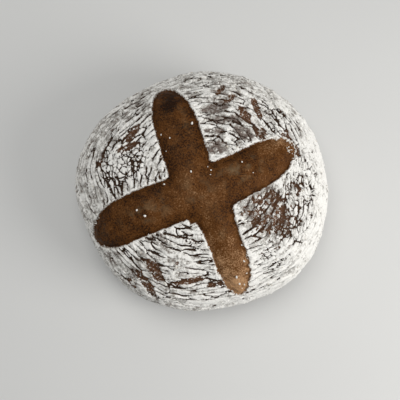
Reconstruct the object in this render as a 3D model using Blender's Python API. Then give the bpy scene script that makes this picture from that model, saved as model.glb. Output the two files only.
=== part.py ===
"""Round sourdough loaf, baked with a cross cut in its floured crust.

The loaf stands on its flat base at Z = 0, with the Z axis through the middle of its plan.
Its skin is a rounded cube whose points are laid on the loaf: a domed meridian swept round an
uneven outline, parted by four score arms. The skin ends in a raised lip along each arm, and
the crumb that burst through swells between the lips.
"""

import math
from typing import NamedTuple

import bmesh
import bpy
from mathutils import Vector

# Driving sizes, in metres.
LOAF_LENGTH = 0.200
LOAF_WIDTH = 0.192
LOAF_HEIGHT = 0.090
WIDEST_HEIGHT = 0.034

# The meridian: a superellipse above the widest ring, and a squarer one rolling in below it,
# which the oven floor cuts off flat.
DOME_SIDE_POWER = 2.25
DOME_TOP_POWER = 2.05
UNDERSIDE_SIDE_POWER = 6.0
UNDERSIDE_BASE_POWER = 2.2
UNDERSIDE_OVERRUN = 0.003

# Uneven outline: (waves round the loaf, share of the radius, direction of a crest in degrees).
OUTLINE_WAVES = (
    (3, 0.010, 59.0),
    (4, 0.012, -24.5),
    (5, 0.008, 25.5),
)

# Where the two cuts cross, off the middle of the loaf.
SCORE_HUB = (-0.006, -0.012)

# The skin's edge along a score, and the crumb that burst through it.
LIP_RISE = 0.0014
LIP_SPREAD = 0.007
PETAL_DIP = 0.0026
PETAL_DIP_SPREAD = 0.024
BURST_DROP = 0.0026
BURST_CROWN = 0.0034
BURST_HALF_WIDTH = 0.015
ARM_BLEND = 0.0020
ARM_OVERLAP = 0.012

# Mesh density, the share of the rounded cube's meridian that lies above the widest ring, and
# how near a corner (as a share of its edge) the score's outline may pass before it takes it over.
CELLS_PER_FACE = 26
UPPER_SHARE = 0.69
WALL_FOOT = 0.0012
TAKE_OVER = 0.34

CRUST_COLOUR = (0.30, 0.16, 0.07, 1.0)
CRUST_ROUGHNESS = 0.75


class Arm(NamedTuple):
    """One arm of the cross: sizes in metres, heading in degrees from +X."""

    heading: float
    reach: float
    root: float
    belly: float
    taper_from: float
    shift: float
    bend: float


# The arms run to the upper, right, left and lower side of the plan.
ARMS = (
    Arm(106.0, reach=0.089, root=0.0158, belly=0.0162, taper_from=0.56, shift=-0.0008, bend=0.0018),
    Arm(22.0, reach=0.083, root=0.0178, belly=0.0164, taper_from=0.57, shift=-0.0022, bend=0.0093),
    Arm(199.0, reach=0.084, root=0.0162, belly=0.0166, taper_from=0.66, shift=0.0006, bend=0.0020),
    Arm(293.0, reach=0.080, root=0.0165, belly=0.0120, taper_from=0.70, shift=0.0062, bend=-0.0024),
)


def smooth_step(value):
    """Eases from 0 to 1 as value goes from 0 to 1."""
    t = min(max(value, 0.0), 1.0)
    return t * t * (3.0 - 2.0 * t)


def smooth_min(a, b, blend):
    """The lower of two distances, rounded over where they meet."""
    h = max(blend - abs(a - b), 0.0) / blend
    return min(a, b) - h * h * blend / 4.0


def outline_scale(angle):
    """How far the loaf's uneven side stands out at a plan angle, as a share of the radius."""
    waves = sum(
        share * math.cos(count * (angle - math.radians(crest)))
        for count, share, crest in OUTLINE_WAVES
    )
    return 1.0 + waves


def meridian(share):
    """Radius share and height on the meridian: 0 at the top, 1 at the middle of the base."""
    if share < UPPER_SHARE:
        turn = math.pi / 2 * (1.0 - share / UPPER_SHARE)
        side, rise = DOME_SIDE_POWER, DOME_TOP_POWER
        tall = LOAF_HEIGHT - WIDEST_HEIGHT
    else:
        turn = -math.pi / 2 * (share - UPPER_SHARE) / (1.0 - UPPER_SHARE)
        side, rise = UNDERSIDE_SIDE_POWER, UNDERSIDE_BASE_POWER
        tall = -(WIDEST_HEIGHT + UNDERSIDE_OVERRUN)
    radius = max(math.cos(turn), 0.0) ** (2.0 / side)
    height = WIDEST_HEIGHT + tall * abs(math.sin(turn)) ** (2.0 / rise)
    return radius, max(height, 0.0)


def arm_distance(arm, x, y):
    """Signed plan distance to one arm's outline, below 0 inside it."""
    heading = math.radians(arm.heading)
    dx, dy = x - SCORE_HUB[0], y - SCORE_HUB[1]
    along = (dx * math.cos(heading) + dy * math.sin(heading)) / arm.reach
    across = dy * math.cos(heading) - dx * math.sin(heading)
    centre = arm.shift + arm.bend * max(along, 0.0) ** 2
    width = arm.root + (arm.belly - arm.root) * smooth_step(along / 0.5)
    tip = max(along - arm.taper_from, 0.0) / (1.0 - arm.taper_from)
    if tip < 1.0:
        width *= math.sqrt(1.0 - tip * tip)
        beyond = 0.0
    else:
        width, beyond = 0.0, (along - 1.0) * arm.reach
    behind = -along * arm.reach - ARM_OVERLAP
    side = abs(across - centre) - width
    return math.hypot(max(side, 0.0), beyond + max(behind, 0.0)) or max(side, behind)


def score_distance(x, y):
    """Signed plan distance to the outline of the whole cross, below 0 inside it."""
    nearest = arm_distance(ARMS[0], x, y)
    for arm in ARMS[1:]:
        nearest = smooth_min(nearest, arm_distance(arm, x, y), ARM_BLEND)
    return nearest


def relief(distance):
    """Height over the plain dome at a distance from the cross: lip and dip outside, swell inside."""
    if distance >= 0.0:
        lip = LIP_RISE * math.exp(-((distance / LIP_SPREAD) ** 2))
        dip = PETAL_DIP * math.exp(-((distance / PETAL_DIP_SPREAD) ** 2))
        return lip - dip
    inward = min(-distance / BURST_HALF_WIDTH, 1.0)
    swell = math.sqrt(1.0 - (1.0 - inward) ** 2)
    return -PETAL_DIP - BURST_DROP + (BURST_DROP + BURST_CROWN) * swell


def dome_height(x, y):
    """Share of the dome's rise at a plan point: 1 at the top, 0 at the widest ring."""
    ring = math.hypot(x / (LOAF_LENGTH / 2), y / (LOAF_WIDTH / 2))
    ring = min(ring / outline_scale(math.atan2(y, x)), 1.0)
    return (1.0 - ring**DOME_SIDE_POWER) ** (1.0 / DOME_TOP_POWER)


def on_plain_loaf(direction):
    """The point of an uncut loaf that a direction from the rounded cube's middle maps to."""
    angle = math.atan2(direction.y, direction.x)
    radius, height = meridian(direction.angle(Vector((0.0, 0.0, 1.0))) / math.pi)
    stretch = radius * outline_scale(angle)
    x = stretch * math.cos(angle) * LOAF_LENGTH / 2
    y = stretch * math.sin(angle) * LOAF_WIDTH / 2
    return Vector((x, y, height))


def cut_along(shape, level, kept):
    """Runs a row of edges over the dome where the distance to the cross is level.

    A corner close to the row moves onto it, unless it is in kept; elsewhere the row splits the
    edges it crosses. Returns the corners on the row.
    """
    value = {
        vert: score_distance(vert.co.x, vert.co.y) - level if vert.co.z > WIDEST_HEIGHT else 1.0
        for vert in shape.verts
    }
    moves = {}
    for edge in shape.edges:
        first, second = edge.verts
        if value[first] * value[second] >= 0.0:
            continue
        share = value[first] / (value[first] - value[second])
        near, part = (first, share) if share < 0.5 else (second, 1.0 - share)
        if part < TAKE_OVER and near not in kept and part < moves.get(near, (1.0, None))[0]:
            moves[near] = (part, first.co.lerp(second.co, share))
    for vert, (_, place) in moves.items():
        vert.co = place
        value[vert] = 0.0
    row = set(moves)
    for edge in list(shape.edges):
        first, second = edge.verts
        if value[first] * value[second] < 0.0:
            share = value[first] / (value[first] - value[second])
            corner = bmesh.utils.edge_split(edge, first, share)[1]
            value[corner] = 0.0
            row.add(corner)
    bmesh.ops.connect_verts(shape, verts=list(row))
    return row


def press_in_scores(shape):
    """Cuts the cross into the plain dome: raised lips, a short wall, and crumb swelling between."""
    lips = cut_along(shape, 0.0, set())
    feet = cut_along(shape, -WALL_FOOT, lips)
    for vert in shape.verts:
        x, y, height = vert.co
        if height <= WIDEST_HEIGHT:
            continue
        distance = score_distance(x, y)
        if vert in lips:
            distance = 0.0
        elif vert in feet:
            distance = -WALL_FOOT
        dome = dome_height(x, y)
        plain = WIDEST_HEIGHT + (LOAF_HEIGHT - WIDEST_HEIGHT) * dome
        vert.co.z = plain + relief(distance) * smooth_step(dome / 0.5)


def crust_material():
    """Matt baked crust."""
    material = bpy.data.materials.new("baked_crust")
    material.use_nodes = True
    shader = material.node_tree.nodes["Principled BSDF"]
    shader.inputs["Base Color"].default_value = CRUST_COLOUR
    shader.inputs["Roughness"].default_value = CRUST_ROUGHNESS
    return material


def fitted(points):
    """Points scaled and moved to the loaf's own length, width and height, centred on its base."""
    low = [min(p[k] for p in points) for k in range(3)]
    high = [max(p[k] for p in points) for k in range(3)]
    sizes = (LOAF_LENGTH, LOAF_WIDTH, LOAF_HEIGHT)
    for p in points:
        for k in range(3):
            middle = (low[k] + high[k]) / 2 if k < 2 else low[k]
            p[k] = (p[k] - middle) * sizes[k] / (high[k] - low[k])


def make_loaf(collection):
    """The loaf as one closed solid."""
    shape = bmesh.new()
    bmesh.ops.create_cube(shape, size=2.0)
    bmesh.ops.subdivide_edges(
        shape, edges=shape.edges[:], cuts=CELLS_PER_FACE - 1, use_grid_fill=True
    )
    for vert in shape.verts:
        # The tangent spaces the cube's rows evenly by angle, so that the cells stay alike.
        even = Vector([math.tan(c * math.pi / 4) for c in vert.co])
        vert.co = on_plain_loaf(even.normalized())
    press_in_scores(shape)
    fitted([v.co for v in shape.verts])
    bmesh.ops.triangulate(shape, faces=shape.faces[:])
    bmesh.ops.recalc_face_normals(shape, faces=shape.faces[:])
    mesh = bpy.data.meshes.new("loaf")
    shape.to_mesh(mesh)
    shape.free()
    mesh.shade_smooth()
    mesh.materials.append(crust_material())
    loaf = bpy.data.objects.new("loaf", mesh)
    collection.objects.link(loaf)
    return loaf


def main():
    for old in list(bpy.data.objects):
        bpy.data.objects.remove(old)
    collection = bpy.data.collections.new("sourdough_loaf")
    bpy.context.scene.collection.children.link(collection)
    make_loaf(collection)


main()
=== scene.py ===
"""Looks for a round sourdough loaf: browned crust, burst cross and cracked flour coat.

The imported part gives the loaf's box. The crust is one closed body inside it. The flour lies on
the crust as thin closed flakes, parted by cracks that run in rings, with loose crumbs on top.
"""

import logging
import math
from dataclasses import dataclass, field
from enum import Enum
from typing import Any

import bpy
import numpy as np
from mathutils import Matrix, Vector


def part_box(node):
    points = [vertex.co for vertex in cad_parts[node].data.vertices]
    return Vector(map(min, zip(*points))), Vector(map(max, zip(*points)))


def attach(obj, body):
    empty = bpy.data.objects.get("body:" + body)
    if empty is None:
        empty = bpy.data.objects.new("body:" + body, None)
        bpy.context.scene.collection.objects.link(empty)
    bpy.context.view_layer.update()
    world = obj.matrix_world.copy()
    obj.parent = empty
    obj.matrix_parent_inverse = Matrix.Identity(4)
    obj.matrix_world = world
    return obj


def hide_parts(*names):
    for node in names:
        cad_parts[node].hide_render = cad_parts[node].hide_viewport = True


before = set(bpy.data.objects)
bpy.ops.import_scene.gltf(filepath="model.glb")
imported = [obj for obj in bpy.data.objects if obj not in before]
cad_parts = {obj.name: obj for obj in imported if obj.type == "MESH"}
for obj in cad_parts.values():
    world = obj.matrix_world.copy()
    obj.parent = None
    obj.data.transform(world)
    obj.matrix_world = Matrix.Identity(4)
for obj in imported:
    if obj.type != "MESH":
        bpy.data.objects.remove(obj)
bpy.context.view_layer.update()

BAKE_MAP = "OFBake"
NOISE_MIDDLE = 0.5
RING_RADIUS = 0.080

log = logging.getLogger("sourdough_loaf")


# ---------------------------------------------------------------- small maths


def smooth_step(value: np.ndarray, low: float = 0.0, high: float = 1.0) -> np.ndarray:
    """Eases from 0 to 1 as value goes from low to high.

    Args:
        value: The numbers to ease.
        low: Where the result leaves 0.
        high: Where the result reaches 1.

    Returns:
        An array of the same shape, from 0 to 1.
    """
    t = np.clip((value - low) / (high - low), 0.0, 1.0)
    return t * t * (3.0 - 2.0 * t)


def smooth_min(a: np.ndarray, b: np.ndarray, blend: float) -> np.ndarray:
    """The lower of two distances, rounded over where they meet.

    Args:
        a: The first distances.
        b: The second distances.
        blend: How far from their meeting the rounding reaches.

    Returns:
        The joined distances.
    """
    h = np.maximum(blend - np.abs(a - b), 0.0) / blend
    return np.minimum(a, b) - h * h * blend / 4.0


def mixed(a: Any, b: Any, share: np.ndarray) -> np.ndarray:
    """A blend that is a where share is 0 and b where it is 1."""
    return a + (b - a) * share


def bell(distance: np.ndarray, reach: float) -> np.ndarray:
    """1 where a distance is 0, fading out smoothly past the reach."""
    return np.exp(-((distance / reach) ** 2))


# ---------------------------------------------------------------- node trees


class NodeBench:
    """Adds nodes to one tree and joins them by the names of their sockets."""

    def __init__(self, tree: bpy.types.NodeTree) -> None:
        """Keeps the tree that the nodes go into."""
        self.tree = tree

    @staticmethod
    def socket(sockets: Any, key: str | int) -> bpy.types.NodeSocket:
        """Finds a socket in use.

        Args:
            sockets: A node's inputs or outputs.
            key: The socket's name or its index.

        Returns:
            The socket.
        """
        if isinstance(key, int):
            return sockets[key]
        return next(s for s in sockets if s.name == key and s.enabled)

    def put(self, kind: str, inputs: dict[str | int, Any] | None = None, **settings: Any) -> Any:
        """Adds a node.

        Args:
            kind: The node's type name.
            inputs: A value or another node's output socket for each named input.
            **settings: Properties set on the node before its inputs.

        Returns:
            The new node.
        """
        node = self.tree.nodes.new(kind)
        for name, value in settings.items():
            setattr(node, name, value)
        for key, value in (inputs or {}).items():
            target = self.socket(node.inputs, key)
            if isinstance(value, bpy.types.NodeSocket):
                self.tree.links.new(value, target)
            else:
                target.default_value = value
        return node

    def maths(self, operation: str, *values: Any, clamp: bool = False) -> bpy.types.NodeSocket:
        """Adds a Math node and returns its result.

        Args:
            operation: The node's operation.
            clamp: Whether the result is held between 0 and 1.
            *values: A number or a socket for each input.

        Returns:
            Its result.
        """
        inputs = dict(enumerate(values))
        node = self.put("ShaderNodeMath", inputs, operation=operation, use_clamp=clamp)
        return node.outputs[0]

    def vectors(self, operation: str, *values: Any) -> bpy.types.NodeSocket:
        """Adds a Vector Math node and returns its vector."""
        node = self.put("ShaderNodeVectorMath", dict(enumerate(values)), operation=operation)
        return node.outputs[0]

    def noise(self, where: Any, scale: Any, detail: float = 2.0, rough: float = 0.5) -> Any:
        """Adds a Noise Texture node over the given coordinates."""
        inputs = {"Vector": where, "Scale": scale, "Detail": detail, "Roughness": rough}
        return self.put("ShaderNodeTexNoise", inputs)

    def spread(self, value: Any, low: Any, high: Any, to_low: Any = 0.0, to_high: Any = 1.0) -> Any:
        """Maps low..high onto to_low..to_high with eased, clamped ends, and returns the result.

        Args:
            value: The number to map.
            low: Lower end.
            high: Upper end.
            to_low: Result at low.
            to_high: Result at high.

        Returns:
            The mapped number.
        """
        inputs = {"Value": value, "From Min": low, "From Max": high}
        inputs.update({"To Min": to_low, "To Max": to_high})
        node = self.put("ShaderNodeMapRange", inputs, interpolation_type="SMOOTHSTEP")
        return node.outputs[0]

    def colours(self, share: Any, a: Any, b: Any) -> bpy.types.NodeSocket:
        """A colour that is a where share is 0 and b where it is 1."""
        return self.put("ShaderNodeMix", {0: share, 6: a, 7: b}, data_type="RGBA").outputs[2]

    def link(self, value: bpy.types.NodeSocket, target: bpy.types.NodeSocket) -> None:
        """Joins a node's output to another's input."""
        self.tree.links.new(value, target)

    def scaled(self, vector: Any, amount: Any) -> bpy.types.NodeSocket:
        """Adds a node that scales a vector by a number, and returns the vector."""
        inputs = {0: vector, "Scale": amount}
        return self.put("ShaderNodeVectorMath", inputs, operation="SCALE").outputs[0]

    def swung(self, value: Any, reach: Any, middle: Any) -> bpy.types.NodeSocket:
        """Swings a number about a middle by a noise's value, reach times its way off 0.5."""
        swing = self.maths("SUBTRACT", value, NOISE_MIDDLE)
        return self.maths("MULTIPLY_ADD", swing, reach, middle)

    def wandering(self, place: Any, scale: Any, reach: Any) -> bpy.types.NodeSocket:
        """A vector that wanders with the place by a noise, half the reach each way.

        Args:
            place: Coordinates to read the pattern at.
            scale: Waves of the noise to the metre.
            reach: Full swing of the noise.

        Returns:
            The vector.
        """
        colour = self.noise(place, scale, 2.0).outputs["Color"]
        centred = self.vectors("SUBTRACT", colour, (NOISE_MIDDLE,) * 3)
        return self.scaled(centred, reach)

    def stored(self, name: str, kind: str = "FLOAT") -> bpy.types.NodeSocket:
        """Reads a named value of the geometry."""
        inputs = {"Name": name}
        return self.put("GeometryNodeInputNamedAttribute", inputs, data_type=kind).outputs[0]

    def seeded_place(self, seed: Any, across: float, up: float) -> bpy.types.NodeSocket:
        """Each point's place, moved by a seed so that no two trees share their noises.

        Args:
            seed: Number that sets the pattern.
            across: Fixed shift along Y.
            up: Fixed shift along Z.

        Returns:
            The moved place.
        """
        place = self.put("GeometryNodeInputPosition").outputs[0]
        shift = self.put("ShaderNodeCombineXYZ", {0: seed, 1: across, 2: up}).outputs[0]
        return self.vectors("ADD", place, shift)

    def close(self, geometry: Any, material: Any, target: Any) -> None:
        """Ends a geometry tree: its instances made real, and its material set.

        Args:
            geometry: The geometry to end with.
            material: The finish.
            target: The group output's socket.
        """
        realized = self.put("GeometryNodeRealizeInstances", {"Geometry": geometry}).outputs[0]
        inputs = {"Geometry": realized, "Material": material}
        self.link(self.put("GeometryNodeSetMaterial", inputs).outputs[0], target)


def new_group(name: str, kind: str, inputs: dict[str, Any], outputs: dict[str, str]) -> Any:
    """Makes an empty node group with named sockets.

    Args:
        name: The group's name.
        kind: ShaderNodeTree or GeometryNodeTree.
        inputs: Default value of each input; None is geometry and "material" is a material.
        outputs: Socket type of each output.

    Returns:
        The node bench, and the group's input and output nodes.
    """
    tree = bpy.data.node_groups.new(name, kind)
    for label, value in inputs.items():
        if value is None:
            socket_type = "NodeSocketGeometry"
        elif value == "material":
            socket_type = "NodeSocketMaterial"
        elif isinstance(value, tuple):
            socket_type = "NodeSocketColor" if len(value) == 4 else "NodeSocketVector"
        elif isinstance(value, int):
            socket_type = "NodeSocketInt"
        else:
            socket_type = "NodeSocketFloat"
        made = tree.interface.new_socket(label, in_out="INPUT", socket_type=socket_type)
        if value is not None and value != "material":
            made.default_value = value
    for label, socket_type in outputs.items():
        tree.interface.new_socket(label, in_out="OUTPUT", socket_type=socket_type)
    bench = NodeBench(tree)
    return bench, bench.put("NodeGroupInput").outputs, bench.put("NodeGroupOutput").inputs


# ---------------------------------------------------------------- meshes as arrays


@dataclass
class Sheet:
    """A triangle mesh with a value for each corner under each name.

    Attributes:
        points: Corner positions, in metres.
        faces: Three corner numbers for each triangle, turned outwards.
        values: Numbers or vectors for each corner.
    """

    points: np.ndarray
    faces: np.ndarray
    values: dict[str, np.ndarray] = field(default_factory=dict)

    def face_normals(self) -> np.ndarray:
        """Each triangle's normal, as long as twice its area."""
        a, b, c = (self.points[self.faces[:, k]] for k in range(3))
        return np.cross(b - a, c - a)

    def summed(self, per_face: np.ndarray) -> np.ndarray:
        """Adds each triangle's row to its three corners.

        Args:
            per_face: A row of numbers for each triangle.

        Returns:
            A row of sums for each corner.
        """
        corners = self.faces.ravel()
        rows = np.repeat(per_face, 3, axis=0)
        columns = [np.bincount(corners, rows[:, k], len(self.points)) for k in range(rows.shape[1])]
        return np.stack(columns, axis=1)

    def normals(self) -> np.ndarray:
        """The smooth unit normal at each corner."""
        total = self.summed(self.face_normals())
        return total / np.maximum(np.linalg.norm(total, axis=1), 1e-20)[:, None]

    def slopes(self, value: np.ndarray) -> np.ndarray:
        """Each triangle's gradient of a value given at the corners.

        Args:
            value: A number for each corner.

        Returns:
            A row for each triangle.
        """
        normal = self.face_normals()
        area2 = np.maximum((normal**2).sum(1), 1e-20)[:, None]
        total = np.zeros_like(normal)
        for k in range(3):
            edge = self.points[self.faces[:, (k + 2) % 3]] - self.points[self.faces[:, (k + 1) % 3]]
            total += np.cross(normal, edge) * value[self.faces[:, k]][:, None]
        return total / area2

    def steepest(self, slopes: np.ndarray) -> np.ndarray:
        """The greatest slope among the triangles round each corner.

        Args:
            slopes: Each triangle's gradient.

        Returns:
            A number for each corner.
        """
        length = np.linalg.norm(slopes, axis=1)
        most = np.zeros(len(self.points))
        for k in range(3):
            np.maximum.at(most, self.faces[:, k], length)
        return most

    def kept(self, faces: np.ndarray) -> "Sheet":
        """The sheet with only the given triangles, and no loose corners.

        Args:
            faces: The triangles to keep.

        Returns:
            The smaller sheet.
        """
        used = np.unique(faces)
        renumber = np.zeros(len(self.points), dtype=np.int64)
        renumber[used] = np.arange(len(used))
        values = {name: value[used] for name, value in self.values.items()}
        return Sheet(self.points[used], renumber[faces], values)

    def clipped(self, value: np.ndarray) -> "Sheet":
        """Keeps the part of the sheet where a value is above 0.

        Args:
            value: A number for each corner, none of them 0.

        Returns:
            The kept part, whose new edges run exactly where the value is 0.
        """
        above = value > 0.0
        count = above[self.faces].sum(1)
        whole = self.faces[count == 3]
        cut = self.faces[(count == 1) | (count == 2)]
        tri_above = above[cut]
        lone_is_above = tri_above.sum(1) == 1
        lone = np.where(lone_is_above, tri_above.argmax(1), (~tri_above).argmax(1))
        rows = np.arange(len(cut))
        a, b, c = cut[rows, lone], cut[rows, (lone + 1) % 3], cut[rows, (lone + 2) % 3]
        pairs = np.sort(np.concatenate([np.stack([a, b], 1), np.stack([a, c], 1)]), axis=1)
        edges, where = np.unique(pairs, axis=0, return_inverse=True)
        where = where.ravel() + len(self.points)
        ab, ac = where[: len(cut)], where[len(cut) :]
        first, second = value[edges[:, 0]], value[edges[:, 1]]
        share = first / (first - second)

        def joined(old: np.ndarray) -> np.ndarray:
            """The old corners' values, and those of the new corners on the cut edges."""
            part = share if old.ndim == 1 else share[:, None]
            return np.concatenate([old, mixed(old[edges[:, 0]], old[edges[:, 1]], part)])

        tip, base = lone_is_above, ~lone_is_above
        faces = np.concatenate(
            [
                whole,
                np.stack([a[tip], ab[tip], ac[tip]], 1),
                np.stack([ab[base], b[base], c[base]], 1),
                np.stack([ab[base], c[base], ac[base]], 1),
            ]
        )
        values = {name: joined(old) for name, old in self.values.items()}
        return Sheet(joined(self.points), faces, values).kept(faces)

    def open_edges(self) -> np.ndarray:
        """Directed edges that only one triangle has, with the sheet on their left.

        Returns:
            A pair of corner numbers for each edge.
        """
        f = self.faces
        edges = np.concatenate([f[:, [0, 1]], f[:, [1, 2]], f[:, [2, 0]]])
        key = edges.min(1) * len(self.points) + edges.max(1)
        _, first, count = np.unique(key, return_index=True, return_counts=True)
        return edges[first[count == 1]]

    def to_mesh(self, name: str) -> bpy.types.Mesh:
        """Makes a Blender mesh with the values as point attributes.

        Args:
            name: The mesh's name.

        Returns:
            The new mesh.
        """
        mesh = bpy.data.meshes.new(name)
        mesh.vertices.add(len(self.points))
        mesh.vertices.foreach_set("co", self.points.astype(np.float32).ravel())
        mesh.loops.add(self.faces.size)
        mesh.loops.foreach_set("vertex_index", self.faces.astype(np.int32).ravel())
        mesh.polygons.add(len(self.faces))
        starts = np.arange(0, self.faces.size, 3, dtype=np.int32)
        mesh.polygons.foreach_set("loop_start", starts)
        mesh.update(calc_edges=True)
        for label, value in self.values.items():
            vector = value.ndim == 2
            kind = "FLOAT_VECTOR" if vector else "FLOAT"
            layer = mesh.attributes.new(label, kind, "POINT")
            slot = "vector" if vector else "value"
            layer.data.foreach_set(slot, value.astype(np.float32).ravel())
        return mesh


def point_positions(mesh: bpy.types.Mesh) -> np.ndarray:
    """A mesh's corner positions as an array.

    Args:
        mesh: The mesh to read.

    Returns:
        A row for each corner, in metres.
    """
    flat = np.empty(len(mesh.vertices) * 3, dtype=np.float32)
    mesh.vertices.foreach_get("co", flat)
    return flat.reshape(-1, 3).astype(np.float64)


def point_values(mesh: bpy.types.Mesh, name: str) -> np.ndarray:
    """A mesh's float attribute as an array.

    Args:
        mesh: The mesh to read.
        name: The attribute's name.

    Returns:
        A number for each corner.
    """
    flat = np.empty(len(mesh.vertices), dtype=np.float32)
    mesh.attributes[name].data.foreach_get("value", flat)
    return flat.astype(np.float64)


def grown(host: bpy.types.Mesh, tree: Any, inputs: dict[str, Any], name: str) -> bpy.types.Mesh:
    """Runs a geometry node tree on a mesh.

    Args:
        host: The mesh the tree starts from.
        tree: The geometry node tree.
        inputs: Values for the tree's inputs, by their names.
        name: Name of the result.

    Returns:
        The result as a plain mesh.
    """
    carrier = bpy.data.objects.new(name + "_carrier", host)
    bpy.context.scene.collection.objects.link(carrier)
    modifier = carrier.modifiers.new(tree.name, "NODES")
    modifier.node_group = tree
    for item in tree.interface.items_tree:
        if item.item_type == "SOCKET" and item.in_out == "INPUT" and item.name in inputs:
            modifier[item.identifier] = inputs[item.name]
    graph = bpy.context.evaluated_depsgraph_get()
    mesh = bpy.data.meshes.new_from_object(carrier.evaluated_get(graph))
    mesh.name = name
    carrier.modifiers.remove(modifier)
    bpy.data.objects.remove(carrier)
    return mesh


def set_bake_map(mesh: bpy.types.Mesh, corner_uv: np.ndarray) -> None:
    """Gives a mesh the map that its finish is baked through.

    Args:
        mesh: The mesh.
        corner_uv: A place for each face corner, from 0 to 1.
    """
    layer = mesh.uv_layers.get(BAKE_MAP) or mesh.uv_layers.new(name=BAKE_MAP)
    layer.data.foreach_set("uv", corner_uv.astype(np.float32).ravel())
    mesh.uv_layers.active = layer


# ---------------------------------------------------------------- the loaf's form


@dataclass(frozen=True)
class Arm:
    """One arm of the cross: sizes in metres, heading in degrees from +X."""

    heading: float
    reach: float
    root: float
    belly: float
    taper_from: float
    shift: float
    bend: float
    overlap: float = 0.012

    def local(self, x: np.ndarray, y: np.ndarray) -> tuple[np.ndarray, np.ndarray]:
        """Plan points from the hub as a share of the arm's reach, and metres to its left.

        Args:
            x: Plan places along X, in metres.
            y: Plan places along Y, in metres.

        Returns:
            The share along the arm, and the metres across it.
        """
        turn = math.radians(self.heading)
        along = (x * math.cos(turn) + y * math.sin(turn)) / self.reach
        across = y * math.cos(turn) - x * math.sin(turn)
        return along, across - self.shift - self.bend * np.maximum(along, 0.0) ** 2

    def distance(self, x: np.ndarray, y: np.ndarray) -> np.ndarray:
        """Signed plan distance to the arm's outline, below 0 inside it.

        Args:
            x: Plan places along X, in metres.
            y: Plan places along Y, in metres.

        Returns:
            The distances, in metres.
        """
        along, across = self.local(x, y)
        width = self.root + (self.belly - self.root) * smooth_step(along, 0.0, 0.5)
        tip = np.clip((along - self.taper_from) / (1.0 - self.taper_from), 0.0, 1.0)
        side = np.abs(across) - width * np.sqrt(1.0 - tip * tip)
        behind = -along * self.reach - self.overlap
        ends = np.maximum(along - 1.0, 0.0) * self.reach + np.maximum(behind, 0.0)
        outside = np.hypot(np.maximum(side, 0.0), ends)
        return np.where(outside > 0.0, outside, np.maximum(side, behind))


@dataclass(frozen=True)
class ScoreCross:
    """The two cuts that cross near the loaf's top, as four arms."""

    hub: tuple[float, float] = (-0.006, -0.012)
    blend: float = 0.0020
    arms: tuple[Arm, ...] = (
        Arm(106.0, 0.089, 0.0158, 0.0162, 0.56, -0.0008, 0.0018),
        Arm(22.0, 0.083, 0.0178, 0.0164, 0.57, -0.0022, 0.0093),
        Arm(199.0, 0.084, 0.0162, 0.0166, 0.66, 0.0006, 0.0020),
        Arm(293.0, 0.080, 0.0165, 0.0120, 0.70, 0.0062, -0.0024),
    )

    def distance(self, x: np.ndarray, y: np.ndarray) -> np.ndarray:
        """Signed plan distance to the cross, below 0 inside it.

        Args:
            x: Plan places along X, in metres.
            y: Plan places along Y, in metres.

        Returns:
            The distances, in metres.
        """
        x, y = x - self.hub[0], y - self.hub[1]
        nearest = self.arms[0].distance(x, y)
        for arm in self.arms[1:]:
            nearest = smooth_min(nearest, arm.distance(x, y), self.blend)
        return nearest


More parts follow.
